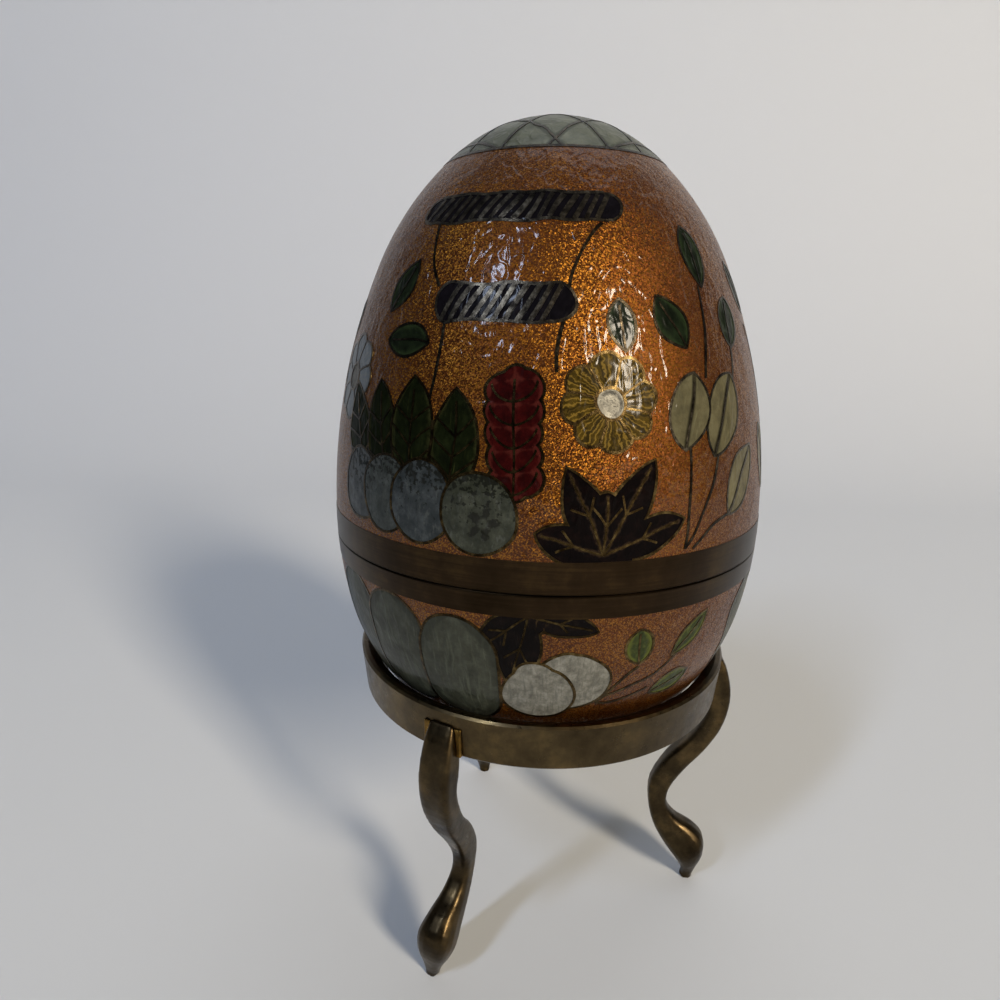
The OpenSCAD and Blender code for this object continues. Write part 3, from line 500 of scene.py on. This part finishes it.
def brushStreaks(tree, place, under, look):  # strokes along the motif, as the enamel was laid in with a quill
    chart, _ = chartParts(tree)
    drawn = addNode(tree, "Mapping", {"Rotation": (0, 0, math.radians(look["turn"])),
                                      "Scale": (look["across"], look["along"], 1)}, [("Vector", chart, 0)])
    streak = addNode(tree, "TexNoise", {"Scale": 1.0, "Detail": 4, "Roughness": 0.7},
                     [("Vector", drawn, "Vector")])
    return layDetail(tree, under, look, streak, "Fac", look["from"], look["from"] + 0.14)


def upperPits(tree, place, under, look):  # burst bubbles with grime in them, thickest at the top of a fruit
    _, parts = chartParts(tree)
    speck = clouds(tree, place, look["sizeMm"], 3, 0.6)
    lift = addNode(tree, "Math", {"operation": "MULTIPLY_ADD", 1: look["rise"]},
                   [(0, parts, "Y"), (2, speck, "Fac")])
    return layDetail(tree, under, look, lift, 0, look["from"], look["from"] + 0.03)


def blossomEnd(tree, place, under, look):  # dark star of pits where the fruit's blossom was
    chart, _ = chartParts(tree)
    moved = addNode(tree, "VectorMath", {"operation": "SUBTRACT", 1: (*look["at"], 0)}, [(0, chart, 0)])
    parts = addNode(tree, "SeparateXYZ", {}, [(0, moved, 0)])
    around = addNode(tree, "Math", {"operation": "ARCTAN2"}, [(0, parts, "Y"), (1, parts, "X")])
    points = addNode(tree, "Math", {"operation": "MULTIPLY", 1: look["points"]}, [(0, around, 0)])
    wave = addNode(tree, "Math", {"operation": "COSINE"}, [(0, points, 0)])
    out = addNode(tree, "VectorMath", {"operation": "LENGTH"}, [(0, moved, 0)])
    wander = clouds(tree, place, wanderMm["blossom"], 3)
    reach = look["reach"]
    limit = addNode(tree, "Math", {"operation": "MULTIPLY_ADD", 1: reach * 0.35, 2: reach}, [(0, wave, 0)])
    ragged = addNode(tree, "Math", {"operation": "MULTIPLY_ADD", 1: reach * 1.6, 2: -reach * 0.8},
                     [(0, wander, "Fac")])
    edge = addNode(tree, "Math", {"operation": "ADD"}, [(0, limit, 0), (1, ragged, 0)])
    inside = addNode(tree, "Math", {"operation": "SUBTRACT"}, [(0, edge, 0), (1, out, "Value")])
    star = stepMask(tree, inside, 0, 0.0, reach * 0.25)
    clear = stepMask(tree, out, "Value", reach * 0.2, reach * 0.5)
    ring = addNode(tree, "Math", {"operation": "MULTIPLY"}, [(0, star, 0), (1, clear, 0)])
    return mixOver(tree, ring, under, look["colour"], look["amount"])


def rays(tree, place, under, look):  # lines that run out from the middle of a flower
    _, parts = chartParts(tree)
    around = addNode(tree, "Math", {"operation": "ARCTAN2"}, [(0, parts, "Y"), (1, parts, "X")])
    wander = clouds(tree, place, wanderMm["flower"], 3)
    bent = addNode(tree, "Math", {"operation": "MULTIPLY_ADD", 1: 0.28}, [(0, wander, "Fac"), (2, around, 0)])
    points = addNode(tree, "Math", {"operation": "MULTIPLY", 1: look["count"]}, [(0, bent, 0)])
    wave = addNode(tree, "Math", {"operation": "COSINE"}, [(0, points, 0)])
    return layDetail(tree, under, look, wave, 0, look["from"], look["from"] + 0.25)


def paleTwin(tree, place, under, look):  # motifs numbered above "after" are fired in a paler colour
    number = addNode(tree, "Attribute", {"attribute_name": "motifNumber"})
    later = addNode(tree, "Math", {"operation": "GREATER_THAN", 1: look["after"]}, [(0, number, "Fac")])
    return mixOver(tree, later, under, look["colour"], look["amount"])


def latticeGrime(tree, place, under, look):  # dark furrows along the cap's crossed lines
    nearest = None
    for turn in (look["turn"], -look["turn"]):
        lean = (math.cos(math.radians(turn)), math.sin(math.radians(turn)), 0)
        over = addNode(tree, "VectorMath", {"operation": "DOT_PRODUCT", 1: lean}, [(0, place, "Object")])
        half = look["pitchMm"] * mm / 2
        shifted = addNode(tree, "Math", {"operation": "ADD", 1: half}, [(0, over, "Value")])
        wrapped = addNode(tree, "Math", {"operation": "WRAP", 1: half, 2: -half}, [(0, shifted, 0)])
        gap = addNode(tree, "Math", {"operation": "ABSOLUTE"}, [(0, wrapped, 0)])
        nearest = nearerOf(tree, nearest, (gap, 0))
    wander = clouds(tree, place, wanderMm["lattice"], 3)
    ragged = addNode(tree, "Math", {"operation": "MULTIPLY_ADD", 1: look["raggedMm"] * mm},
                     [(0, wander, "Fac"), (2, *nearest)])
    reach = (look["halfMm"] + look["raggedMm"] / 2) * mm
    return layDetail(tree, under, look, ragged, 0, reach * 0.7, reach * 1.1, flip=True)


def wornVeins(tree, place, under, look):  # brass that shows beside the veins of a many-pointed leaf
    chart, _ = chartParts(tree)
    spot = addNode(tree, "VectorMath", {"operation": "MULTIPLY", 1: (*look["sizeMm"], 0)}, [(0, chart, 0)])
    nearest = None
    for start, end in look["lines"]:
        run = (end[0] - start[0], end[1] - start[1], 0)
        away = addNode(tree, "VectorMath", {"operation": "SUBTRACT", 1: (*start, 0)}, [(0, spot, 0)])
        along = addNode(tree, "VectorMath", {"operation": "DOT_PRODUCT", 1: run}, [(0, away, 0)])
        part = addNode(tree, "Math", {"operation": "DIVIDE", 1: run[0] ** 2 + run[1] ** 2, "use_clamp": True},
                       [(0, along, "Value")])
        back = addNode(tree, "VectorMath", {"operation": "SCALE", 0: run}, [("Scale", part, 0)])
        left = addNode(tree, "VectorMath", {"operation": "SUBTRACT"}, [(0, away, 0), (1, back, 0)])
        gap = addNode(tree, "VectorMath", {"operation": "LENGTH"}, [(0, left, 0)])
        nearest = nearerOf(tree, nearest, (gap, "Value"))
    wander = clouds(tree, place, wanderMm["vein"], 3)
    ragged = addNode(tree, "Math", {"operation": "MULTIPLY_ADD", 1: look["raggedMm"]},
                     [(0, wander, "Fac"), (2, *nearest)])
    reach = look["halfMm"] + look["raggedMm"] / 2
    return layDetail(tree, under, look, ragged, 0, reach * 0.75, reach * 1.1, flip=True)


def scaleRimsAndHighlights(tree, place, under, look):  # the pale lower rim of each scale of the plume: partly paler enamel, partly a painted highlight
    _, parts = chartParts(tree)
    across = addNode(tree, "Math", {"operation": "ABSOLUTE"}, [(0, parts, "X")])
    side = addNode(tree, "Math", {"operation": "MULTIPLY_ADD", 1: look["widthMm"], 2: -look["sideMm"]},
                   [(0, across, 0)])
    rise = addNode(tree, "Math", {"operation": "MULTIPLY_ADD", 1: look["lengthMm"], 2: look["shiftMm"]},
                   [(0, parts, "Y")])
    half = look["rowMm"] / 2
    row = addNode(tree, "Math", {"operation": "WRAP", 1: half, 2: -half}, [(0, rise, 0)])
    spot = addNode(tree, "CombineXYZ", {}, [("X", side, 0), ("Y", row, 0)])
    out = addNode(tree, "VectorMath", {"operation": "LENGTH"}, [(0, spot, 0)])
    wander = clouds(tree, place, wanderMm["scale"], 3)
    edge = addNode(tree, "Math", {"operation": "MULTIPLY_ADD", 1: 1.2},
                   [(0, wander, "Fac"), (2, out, "Value")])
    return layDetail(tree, under, look, edge, 0, look["from"], look["from"] + 0.5)


# Opaque fired enamel: one colour that drifts, its motif's details, and a glossy skin ground level by hand
firedLook = {"driftMm": 2.0, "speckMm": 0.35, "speckFrom": 0.62, "roughness": 0.4, "coat": 0.3, "ripple": 0.6}


def firedEnamel(name, ownLook, details):
    look = {**firedLook, **ownLook}
    material, tree = newMaterial(name)
    place = addNode(tree, "TexCoord")
    drift = clouds(tree, place, look["driftMm"], 6, 0.68)
    stops = [(0.3, look["shade"]), (0.5, look["body"]), (0.7, look["light"])]
    ramp = addNode(tree, "ValToRGB", {"stops": stops}, [("Fac", drift, "Fac")])
    colour = (ramp, "Color")
    for detail, settings in details:
        colour = detail(tree, place, colour, settings)
    speck = clouds(tree, place, look["speckMm"], 4, 0.7)
    specked = stepMask(tree, speck, "Fac", look["speckFrom"], look["speckFrom"] + 0.1)
    colour = mixOver(tree, specked, colour, look["shade"], 0.6)
    coat = coatSurface(tree, place, coatLook, look["ripple"])
    shader = addNode(tree, "BsdfPrincipled", {"Roughness": look["roughness"], "Specular IOR Level": 0.02,
                                              "Coat Weight": look["coat"], "Coat Roughness": 0.14},
                     [("Base Color", *colour), ("Normal", coat, "Normal"), ("Coat Normal", coat, "Normal")])
    addNode(tree, "OutputMaterial", {}, [("Surface", shader, "BSDF")])
    return material


# Veins of the many-pointed leaf: each point's length in millimetres and direction, and how far its vein runs
leafPoints = ((12.8, 114), (14, 61), (9.4, 162), (12.6, 20), (8.2, 88))
veinShare = 0.92
mapleVeins = [((0, 0), (veinShare * length * math.cos(math.radians(turn)),
                        veinShare * length * math.sin(math.radians(turn)))) for length, turn in leafPoints]

# What each enamel looks like, with the details its motif carries
stoneGrey = {"body": "#393b31", "shade": "#292b22", "light": "#4a4d41", "driftMm": 3}
fruitPits = (upperPits, {"sizeMm": 0.7, "rise": 0.32, "from": 0.61, "colour": "#12130e", "amount": 0.85})
fruitStreaks = (brushStreaks, {"turn": 20, "across": 9, "along": 5, "from": 0.54, "colour": "#585b57",
                               "amount": 0.4})
enamelLooks = {
    "stonePetalEnamel": (stoneGrey, [
        (brushStreaks, {"turn": 0, "across": 14, "along": 2.5, "from": 0.52, "colour": "#585d4e",
                        "amount": 0.5}),
        (leafRim, {"from": 0.8, "to": 1.15, "colour": "#282a22", "amount": 0.7})]),
    "blackLeafEnamel": ({"body": "#0a0605", "shade": "#040303", "light": "#170f0b", "coat": 0.12}, [
        (brushStreaks, {"turn": 0, "across": 22, "along": 6, "from": 0.6, "colour": "#4a3a24",
                        "amount": 0.7})]),
    "chalkFlowerEnamel": ({"body": "#706f66", "shade": "#52514a", "light": "#8b8a81", "driftMm": 1.2}, [
        (brushStreaks, {"turn": -35, "across": 26, "along": 3, "from": 0.5, "colour": "#5a5a53",
                        "amount": 0.7})]),
    "mossLeafEnamel": ({"body": "#2c3416", "shade": "#1a210f", "light": "#424a1e", "driftMm": 0.9}, [
        (leafRim, {"from": 0.5, "to": 0.9, "colour": "#535922", "amount": 0.8})]),
    "sageCapEnamel": ({"body": "#50554a", "shade": "#3f4439", "light": "#656a5d", "driftMm": 4}, [
        (latticeGrime, {"turn": 35, "pitchMm": 6.4, "halfMm": 0.62, "raggedMm": 0.5, "colour": "#2f3329",
                        "amount": 0.8})]),
    "ropeBlackEnamel": ({"body": "#0b090d", "shade": "#060507", "light": "#141217", "coat": 0.2}, []),
    "tuftGreenEnamel": ({"body": "#0e1306", "shade": "#070a04", "light": "#1a200e", "coat": 0.1}, [
        (brushStreaks, {"turn": 8, "across": 20, "along": 2, "from": 0.58, "colour": "#383b1c",
                        "amount": 0.7}),
        (leafRim, {"from": 0.75, "to": 1.1, "colour": "#3c3c20", "amount": 0.6})]),
    "sprayGreenEnamel": ({"body": "#11180d", "shade": "#080c06", "light": "#1b2515", "coat": 0.25}, [
        (leafRim, {"from": 0.5, "to": 0.95, "colour": "#27331d", "amount": 0.7})]),
    "sageLeafEnamel": ({"body": "#59543d", "shade": "#43402f", "light": "#67634a", "driftMm": 2.6}, [
        (brushStreaks, {"turn": 0, "across": 12, "along": 2, "from": 0.56, "colour": "#77775a",
                        "amount": 0.35}),
        (leafRim, {"from": 0.9, "to": 1.2, "colour": "#37392b", "amount": 0.6}),
        (midline, {"half": 0.085, "colour": "#211f15", "amount": 0.85})]),
    "oliveYellowEnamel": ({"body": "#40320c", "shade": "#241d07", "light": "#574515", "driftMm": 1.0}, [
        (rays, {"count": 47, "from": 0.3, "colour": "#7d6428", "amount": 0.75}),
        (rays, {"count": 17, "from": 0.5, "colour": "#231c08", "amount": 0.7}),
        (paleTwin, {"after": 1.5, "colour": "#6d7375", "amount": 0.8})]),
    "garnetPlumeEnamel": ({"body": "#270505", "shade": "#130303", "light": "#380b09", "coat": 0.12}, [
        # The plume's pale scale rims are partly a painted highlight
        (scaleRimsAndHighlights, {"widthMm": 7.2, "sideMm": 1.6, "lengthMm": 17.2, "shiftMm": 0.6, "rowMm": 3, "from": 1.9,
                     "colour": "#50211b", "amount": 0.55})]),
    "aubergineEnamel": ({"body": "#080404", "shade": "#030202", "light": "#140a08", "driftMm": 1.6,
                         "coat": 0.06, "roughness": 0.6}, [
        (wornVeins, {"sizeMm": (24, 14), "lines": mapleVeins, "halfMm": 0.34, "raggedMm": 0.9,
                     "colour": "#33271a", "amount": 0.8})]),
    "whiteFruitEnamel": ({"body": "#414443", "shade": "#303332", "light": "#5a5d5c"},
                         [fruitStreaks, fruitPits]),
    "greyFruitEnamel": ({"body": "#363a37", "shade": "#262a27", "light": "#4b4f4c"},
                        [fruitStreaks, fruitPits]),
    "blueFruitEnamel": ({"body": "#2f3435", "shade": "#212627", "light": "#434849"},
                        [fruitStreaks, fruitPits]),
    "greenFruitEnamel": ({"body": "#2f3229", "shade": "#20231b", "light": "#43463b"}, [
        fruitStreaks, fruitPits,
        (blossomEnd, {"at": (0.07, -0.12), "points": 5, "reach": 0.19, "colour": "#14140f",
                      "amount": 0.85})]),
}
finishes = {name: firedEnamel(name, *look) for name, look in enamelLooks.items()}
# Each metal, and the glitter enamel, as its maker and its look: what differs from the plain look is named
metalLooks = {
    "agedCastBrass": (castBrass, castBrassLook),
    # The legs' darker copy of the cast brass is painted shade: the same metal as the ring, darker because the
    # legs stand in shade
    "legCastBrass": (castBrass, {**castBrassLook, "dark": "#2d2519", "mid": "#453a28", "rubbed": "#6b583a",
                                 "cloudMm": 6}),
    "brazingMetal": (castBrass, {**castBrassLook, "dark": "#463519", "mid": "#765a2a", "rubbed": "#b08b45",
                                 "cloudMm": 2, "bump": 0.4}),
    "cellWallBrass": (wallBrass, wallBrassLook),
    "greyedWallBrass": (wallBrass, {**wallBrassLook, "golden": ["#231f1a", "#544d41", "#857c6b"]}),
    "buttonSilver": (castBrass, {**castBrassLook, "dark": "#4a4842", "mid": "#69675f", "rubbed": "#8b887e",
                                 "cloudMm": 0.8, "bump": 0.5, "roughness": 0.42, "rim": (0.3, 0.48),
                                 "rimMm": 0.1}),
    "turnedBandBrass": (turnedBrass, turnedBrassLook),
    "copperGlitterEnamel": (copperGlitterEnamel, glitterLook),
}
for name, (maker, look) in metalLooks.items():
    finishes[name] = maker(name, look)
print("finishes made:", len(finishes))

finishOf = {
    "stand_ring": "agedCastBrass", "leg_front_left": "legCastBrass", "leg_right": "legCastBrass",
    "leg_back": "legCastBrass", "leg_brazing": "brazingMetal",
    "base_shell": "turnedBandBrass", "base_collar": "turnedBandBrass", "base_cell_walls": "cellWallBrass",
    "base_ground_enamel": "copperGlitterEnamel", "base_pale_petal_enamel": "stonePetalEnamel",
    "base_dark_leaf_enamel": "blackLeafEnamel", "base_white_flower_enamel": "chalkFlowerEnamel",
    "base_green_leaf_enamel": "mossLeafEnamel",
    "lid_shell": "turnedBandBrass", "lid_cell_walls": "cellWallBrass", "lid_leaf_walls": "greyedWallBrass",
    "lid_rope_walls": "greyedWallBrass", "lid_cap_lattice": "greyedWallBrass",
    "lid_ground_enamel": "copperGlitterEnamel", "lid_cap_enamel": "sageCapEnamel",
    "lid_rope_enamel": "ropeBlackEnamel", "lid_tuft_leaf_enamel": "tuftGreenEnamel",
    "lid_spray_leaf_enamel": "sprayGreenEnamel", "lid_sage_leaf_enamel": "sageLeafEnamel",
    "lid_yellow_flower_enamel": "oliveYellowEnamel", "lid_flower_heart": "buttonSilver",
    "lid_red_plume_enamel": "garnetPlumeEnamel", "lid_maple_leaf_enamel": "aubergineEnamel",
    "lid_white_fruit_enamel": "whiteFruitEnamel", "lid_grey_fruit_enamel": "greyFruitEnamel",
    "lid_blue_fruit_enamel": "blueFruitEnamel", "lid_green_fruit_enamel": "greenFruitEnamel",
}
# Walls that are rubbed golden: how golden round each motif, and how golden the node's other walls are
rubbedWalls = {
    "lid_cell_walls": ({"lid_yellow_flower_enamel": 0.22, "lid_maple_leaf_enamel": 0.3}, 0.12),
    "lid_leaf_walls": ({"lid_sage_leaf_enamel": 0.8}, 0.25),
    "lid_rope_walls": ({}, 0.75),
    "lid_cap_lattice": ({}, 0.3),
    "base_cell_walls": ({"base_white_flower_enamel": 0.4, "base_green_leaf_enamel": 0.4}, 0.15),
}
shellNodes = ("base_shell", "base_collar", "lid_shell")
for nodeName, finish in finishOf.items():
    if bodyOf[nodeName] == "stand" or nodeName in shellNodes:
        slots = nodes[nodeName].data.materials
        slots.clear()
        slots.append(finishes[finish])
        continue
    piece = mergedCopy(nodeName)
    if nodeName in motifPlaces:
        chartMotifs(piece, placesRound(nodeName))
    if nodeName in rubbedWalls:
        chartRubbed(piece, *rubbedWalls[nodeName])
    drawnByHand(piece, handLook)
    takeFinish(piece, finishes[finish], nodeName)
print("finishes set")

# Cast legs: the frame's own shape with its edges softened as a sand casting's are, finer on the small beads
castingLook = {"voxelMm": 0.28, "smoothing": 0.5, "passes": 3}
beadLook = {**castingLook, "voxelMm": 0.12}


def softCasting(node, look):
    piece = mergedCopy(node)
    remesh = piece.modifiers.new("skin", "REMESH")
    remesh.mode = "VOXEL"
    remesh.voxel_size = look["voxelMm"] * mm
    smooth = piece.modifiers.new("soften", "SMOOTH")
    smooth.factor = look["smoothing"]
    smooth.iterations = look["passes"]
    selectOnly(piece)
    for modifier in ("skin", "soften"):
        bpy.ops.object.modifier_apply(modifier=modifier)
    bpy.ops.object.shade_smooth()
    takeFinish(piece, finishes[finishOf[node]], node)


for nodeName in ("leg_front_left", "leg_right", "leg_back"):
    softCasting(nodeName, castingLook)
softCasting("leg_brazing", beadLook)
print("castings softened")

# Plain pale sweep: a floor that curves up behind the object
sweepLook = {"near": "#d2d5d6", "far": "#d9dde2", "halfWidth": 1.6, "front": -1.2, "back": 0.7, "rise": 1.5,
             "bend": 0.4, "bendSteps": 24, "roughness": 0.9}


def paleSweep(look):
    bpy.ops.object.select_all(action="DESELECT")
    bpy.ops.mesh.primitive_plane_add(size=1)
    floor = bpy.context.object
    floor.name = "paleSweep"
    for corner in floor.data.vertices:
        corner.co = Vector((math.copysign(look["halfWidth"], corner.co.x),
                            look["back"] if corner.co.y > 0 else look["front"], 0))

    def selectBackEdge():
        bpy.ops.object.mode_set(mode="OBJECT")
        for corner in floor.data.vertices:
            corner.select = corner.co.y > look["back"] - mm and abs(corner.co.z) < mm
        for edge in floor.data.edges:
            edge.select = all(floor.data.vertices[v].select for v in edge.vertices)
        for face in floor.data.polygons:
            face.select = False
        bpy.ops.object.mode_set(mode="EDIT")
        bpy.ops.mesh.select_mode(type="EDGE")

    selectBackEdge()
    bpy.ops.mesh.extrude_region_move(TRANSFORM_OT_translate={"value": (0, 0, look["rise"])})
    selectBackEdge()
    bpy.ops.mesh.bevel(offset=look["bend"], segments=look["bendSteps"], affect="EDGES")
    bpy.ops.object.mode_set(mode="OBJECT")
    bpy.ops.object.shade_smooth()
    material, tree = newMaterial("paperSweep")
    place = addNode(tree, "TexCoord")
    depth = addNode(tree, "SeparateXYZ", {}, [(0, place, "Object")])
    tone = addNode(tree, "ValToRGB", {"stops": [(0.0, look["near"]), (look["back"], look["far"])]},
                   [("Fac", depth, "Y")])
    shader = addNode(tree, "BsdfPrincipled", {"Roughness": look["roughness"]}, [("Base Color", tone, "Color")])
    addNode(tree, "OutputMaterial", {}, [("Surface", shader, "BSDF")])
    floor.data.materials.append(material)


paleSweep(sweepLook)
print("sweep made")

# Soft studio light: a warm key from the right front, a small cool window from the upper left, a pale surround
lampLooks = {
    "warmKey": {"azimuth": -48, "elevation": 26, "away": 2.0, "wide": 0.3, "tall": 0.62, "watts": 37,
                "tint": "#fff0da"},
    "coolWindow": {"azimuth": -128, "elevation": 44, "away": 2.0, "wide": 0.13, "tall": 0.7, "watts": 13,
                   "tint": "#d3e2ff"},
    "softBack": {"azimuth": 75, "elevation": 66, "away": 2.4, "wide": 1.5, "tall": 1.5, "watts": 9,
                 "tint": "#f2f5ff"},
}
lampAim = Vector((0, 0, 0.1))


def softLamp(name, look):
    lamp = bpy.data.lights.new(name, "AREA")
    lamp.shape = "RECTANGLE"
    lamp.size = look["wide"]
    lamp.size_y = look["tall"]
    lamp.energy = look["watts"]
    lamp.color = linearColour(look["tint"])[:3]
    holder = bpy.data.objects.new(name, lamp)
    scene.collection.objects.link(holder)
    azimuth, elevation = math.radians(look["azimuth"]), math.radians(look["elevation"])
    away = Vector((math.cos(azimuth) * math.cos(elevation), math.sin(azimuth) * math.cos(elevation),
                   math.sin(elevation)))
    holder.location = lampAim + away * look["away"]
    holder.rotation_euler = (-away).to_track_quat("-Z", "Y").to_euler()


for lampName, lampLook in lampLooks.items():
    softLamp(lampName, lampLook)
surroundLook = {"Color": linearColour("#c4c8cc"), "Strength": 0.08}
surround = bpy.data.worlds.new("paleSurround")
scene.world = surround
surround.use_nodes = True
for socket, value in surroundLook.items():
    surround.node_tree.nodes["Background"].inputs[socket].default_value = value
print("lamps set")

# Camera at the photograph's place, in millimetres, pixels and degrees
cameraLook = {"place": (0, -122.93, 113.27), "focal": 682.37, "frame": 1000, "pitch": 15.018, "yaw": -3.789,
              "roll": 0.801, "sensorMm": 36, "clipMm": 5}


def photographCamera(look):
    pitch, yaw, roll = (math.radians(look[turn]) for turn in ("pitch", "yaw", "roll"))
    ahead = Vector((math.sin(yaw) * math.cos(pitch), math.cos(yaw) * math.cos(pitch), -math.sin(pitch)))
    right = ahead.cross(Vector((0, 0, 1))).normalized()
    up = right.cross(ahead)
    rolledRight = right * math.cos(roll) + up * math.sin(roll)
    rolledUp = up * math.cos(roll) - right * math.sin(roll)
    lens = bpy.data.cameras.new("photographView")
    lens.sensor_width = look["sensorMm"]
    lens.lens = look["focal"] * lens.sensor_width / look["frame"]
    lens.clip_start = look["clipMm"] * mm
    camera = bpy.data.objects.new("photographView", lens)
    scene.collection.objects.link(camera)
    turn = Matrix((rolledRight, rolledUp, -ahead)).transposed()
    camera.matrix_world = Matrix.Translation(Vector(look["place"]) * mm) @ turn.to_4x4()
    scene.camera = camera


photographCamera(cameraLook)
scene.view_settings.view_transform = "Standard"
print("camera set")
